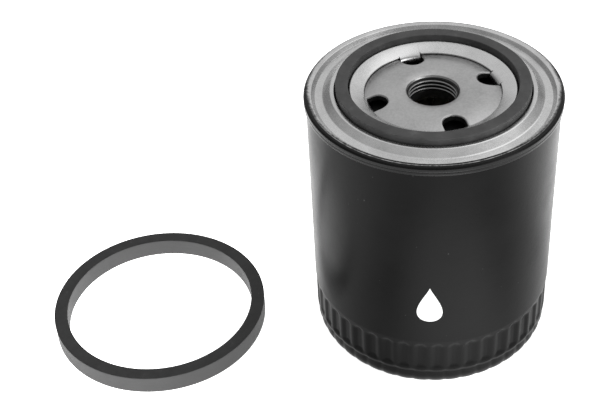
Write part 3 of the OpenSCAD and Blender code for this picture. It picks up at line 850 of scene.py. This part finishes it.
def coil(name, node, coil_r, wire, turns, low, rise, sides, body):
    """A coil spring of round wire with closed end turns, rise high from low."""
    per_turn = 48
    turn = np.arange(turns * per_turn + 1) / per_turn
    closed = wire * 1.06            # rise of an end turn, which all but touches the next
    slope = (rise - wire - 2 * closed) / (turns - 2)
    upper = rise - wire - (turns - turn) * closed
    lift = np.where(turn < 1, turn * closed, np.where(turn > turns - 1, upper, closed + (turn - 1) * slope))
    around = np.arange(sides) * TAU / sides
    r = coil_r + wire / 2 * np.cos(around)[None, :] + 0 * turn[:, None]
    z = low + wire / 2 + lift[:, None] + wire / 2 * np.sin(around)[None, :]
    a = TAU * turn[:, None]
    tube = np.stack([r * np.cos(a), r * np.sin(a), z], -1)
    ends = tube[[0, -1]].mean(1, keepdims=True)
    tube = np.concatenate([np.repeat(ends[:1], sides, 1), tube, np.repeat(ends[1:], sides, 1)])
    obj = add_piece(name, tube.reshape(-1, 3), grid_faces(len(tube), sides, close_rows=False), SPRING, body,
                    [node], 50)
    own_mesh(obj)


coil("spring_under_element", "element_spring", coil_r=14, wire=2, turns=4, low=2.85, rise=11.3, sides=16,
     body="canister")
coil("spring_of_bypass", "bypass_spring", coil_r=5.2, wire=0.9, turns=6, low=18.31, rise=11.2, sides=12,
     body="filter_element")


def build_pleats():
    """Folded paper: a star with rounded folds, slightly wavy up its height."""
    pleats, out_r, in_r, paper = 40, 38.0, 20.5, 0.45
    slope = math.atan(in_r * math.sin(math.pi / pleats) / (out_r - in_r))
    shift = paper / math.sin(slope)

    def star(peak, valley, fold):
        corners = []
        for i in range(2 * pleats):
            a = math.pi * i / pleats
            r = peak if i % 2 == 0 else valley
            corners.append((r * math.cos(a), r * math.sin(a), fold))
        return rounded(corners, steps=4)

    outer, inner = star(out_r, in_r + shift, 0.35), star(out_r - shift, in_r, 0.35)
    levels = np.linspace(PAPER_LOW, PAPER_HIGH, 24)
    rings = []
    for line, order in ((outer, levels), (inner, levels[::-1])):
        bearing = np.arctan2(line[:, 1], line[:, 0])
        for z in order:
            held = math.sin(math.pi * (z - PAPER_LOW) / (PAPER_HIGH - PAPER_LOW))
            lean = 0.0035 * held * math.sin(z * 0.31) * np.sin(3 * bearing + z * 0.05)
            c, s = np.cos(lean), np.sin(lean)
            x, y = line[:, 0] * c - line[:, 1] * s, line[:, 0] * s + line[:, 1] * c
            rings.append(np.stack([x, y, np.full(len(line), z)], -1))
    add_piece("pleated_paper", np.concatenate(rings), grid_faces(len(rings), len(outer)), PAPER,
              "filter_element", ["pleated_media"], 60)


build_pleats()

for node, material in (("seam_sealant", SEALANT), ("media_seam_clip", TIN), ("center_tube", TIN),
                       ("bypass_cage", STEEL)):
    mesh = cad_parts[node].data
    for k in range(len(mesh.materials)):
        mesh.materials[k] = material


# ---------------------------------------------------------------- printed mark on the can

INK_R = WALL_R + 0.02
INK_T = 0.03
DROP_MIDDLE = 45.5                  # height of the drop's middle
DROP_HALF_HEIGHT, DROP_HALF_WIDTH = 8.6, 5.6
FRONT = math.radians(-90)


def decal(name, rows, azimuth):
    """A patch on the wall; rows are (height, left, right), in millimetres along the wall."""
    cols = 14
    front, back = [], []
    for z, left, right in rows:
        a = azimuth + np.linspace(left, right, cols) / WALL_R
        front.append(ring_verts([INK_R + INK_T], [z], a))
        back.append(ring_verts([INK_R], [z], a))
    front, back = np.concatenate(front), np.concatenate(back)
    top = grid_faces(len(rows), cols, close_rows=False, close_cols=False)
    border = (list(range(cols)) + [i * cols + cols - 1 for i in range(1, len(rows))]
              + [(len(rows) - 1) * cols + j for j in range(cols - 2, -1, -1)]
              + [i * cols for i in range(len(rows) - 2, 0, -1)])
    count = len(front)
    sides = [(a, b, b + count, a + count) for a, b in zip(border, border[1:] + border[:1])]
    faces = [tuple(f) for f in top] + [tuple(f[::-1] + count) for f in top] + sides
    add_piece(name, np.concatenate([front, back]), faces, INK, "canister")


def drop_rows():
    """A plain oil drop, point upwards."""
    rows = []
    for t in np.linspace(0.02, math.pi - 0.02, 40):
        width = DROP_HALF_WIDTH * math.sin(t) * math.sin(t / 2) ** 1.6 * 1.25
        rows.append((DROP_MIDDLE + DROP_HALF_HEIGHT * math.cos(t), -width, width))
    return rows


decal("mark_drop", drop_rows(), FRONT)


# ---------------------------------------------------------------- stage, light and camera

SOURCE_AT = (0.05, 0.45, 0.892)     # direction of the broad source's middle
SOURCE_EDGE = (0.50, 0.80)          # cosines of the angles where it has faded out and where it is full
ROOM_LEVEL, SOURCE_LEVEL = 0.28, 0.85

FLOOR_HALF = 3.0
# The floor's uneven glow paints reflections on the can's wall: a dimmer part for a dark band, and a brighter
# patch at the front.
CALM_AT = (0.030, -0.070, 0)        # middle of the floor's less bright part
CALM_EDGE = (0.095, 0.15)           # distances from it where the floor begins to brighten and is full
CALM_GLOW, FLOOR_GLOW = 0.98, 2.35
FRONT_AT = (0.028, -0.110, 0)       # middle of a brighter patch inside that part
FRONT_EDGE = (0.03, 0.085)          # distances from it where the patch begins to fade and has gone
FRONT_GLOW = 2.6

# Each soft box: its name, place, target, size and power in watts
BOXES = (("right_box", (0.65, -0.35, 0.30), (0, 0, 0.06), (0.50, 0.60), 2.5),
         ("top_box", (0.41, 0.26, 0.85), (0, 0, 0.11), (0.60, 0.60), 0.8),
         ("front_box", (-0.05, -0.50, 0.86), (0, 0, 0.11), (0.90, 0.60), 0.12))

CAMERA_AT = (0, -0.39485, 0.38101)
PITCH_DOWN, ROLL, YAW = 0.68387, -0.06823, -0.13130
SENSOR, LENS = 36, 77.22            # millimetres


def build_floor():
    """A pale glowing floor, which the can's wall mirrors. Its uneven glow is painted light: dimmer round the
    part, brighter further out and in a patch at the front, to paint dark and light reflections on the wall."""
    mesh = bpy.data.meshes.new("floor")
    corners = [(x * FLOOR_HALF, y * FLOOR_HALF, 0) for x, y in ((-1, -1), (1, -1), (1, 1), (-1, 1))]
    mesh.from_pydata(corners, [], [(0, 1, 2, 3)])
    obj = bpy.data.objects.new("floor", mesh)
    bpy.context.scene.collection.objects.link(obj)
    look = Look("floor", specular=0.1, Emission_Color=tone(1))
    glow = look.math("ADD", look.remap(look.distance(CALM_AT), *CALM_EDGE, CALM_GLOW, FLOOR_GLOW),
                     look.remap(look.distance(FRONT_AT), *FRONT_EDGE, FRONT_GLOW, 0.0))
    look.tree.links.new(glow, look.bsdf.inputs["Emission Strength"])
    cloud = look.noise(3, 2, 0.5)
    mesh.materials.append(look.finish(look.mix(cloud, 0.50, 0.52), 0.8))


def area_light(name, place, target, size, power):
    """A soft box that faces its target."""
    data = bpy.data.lights.new(name, "AREA")
    data.shape = "RECTANGLE"
    data.size, data.size_y = size
    data.energy = power
    obj = bpy.data.objects.new(name, data)
    bpy.context.scene.collection.objects.link(obj)
    place, target = Vector(place), Vector(target)
    obj.location = place
    obj.rotation_euler = (target - place).to_track_quat("-Z", "Y").to_euler()


def build_world():
    """A dim room with one broad soft source behind and above the part."""
    world = bpy.data.worlds.new("studio")
    bpy.context.scene.world = world
    world.use_nodes = True
    tree = world.node_tree
    coords = tree.nodes.new("ShaderNodeTexCoord")
    facing = tree.nodes.new("ShaderNodeVectorMath")
    facing.operation = "DOT_PRODUCT"
    facing.inputs[1].default_value = SOURCE_AT
    level = tree.nodes.new("ShaderNodeMapRange")
    level.interpolation_type = "SMOOTHSTEP"
    for socket, value in zip(level.inputs[1:5], (*SOURCE_EDGE, ROOM_LEVEL, SOURCE_LEVEL)):
        socket.default_value = value
    tree.links.new(coords.outputs["Generated"], facing.inputs[0])
    tree.links.new(facing.outputs["Value"], level.inputs[0])
    tree.links.new(level.outputs[0], tree.nodes["Background"].inputs["Strength"])
    tree.nodes["Background"].inputs["Color"].default_value = tone(1)


def build_camera():
    """A camera that looks down by PITCH_DOWN, turned by YAW from straight back, and rolled by ROLL."""
    level = math.cos(PITCH_DOWN)
    ahead = Vector((math.sin(YAW) * level, math.cos(YAW) * level, -math.sin(PITCH_DOWN)))
    right = Vector((math.cos(YAW), -math.sin(YAW), 0))
    up = right.cross(ahead)
    x = math.cos(ROLL) * right + math.sin(ROLL) * up
    y = -math.sin(ROLL) * right + math.cos(ROLL) * up
    data = bpy.data.cameras.new("camera")
    data.sensor_fit = "HORIZONTAL"
    data.sensor_width = SENSOR
    data.lens = LENS
    data.clip_start = 0.01
    obj = bpy.data.objects.new("camera", data)
    bpy.context.scene.collection.objects.link(obj)
    turn = Matrix((x, y, -ahead)).transposed().to_4x4()
    obj.matrix_world = Matrix.Translation(CAMERA_AT) @ turn
    bpy.context.scene.camera = obj


build_floor()
build_world()
for box in BOXES:
    area_light(*box)
build_camera()

view = bpy.context.scene.view_settings
view.view_transform = "Standard"
view.look = "None"
view.exposure = 0.0
view.gamma = 1.0
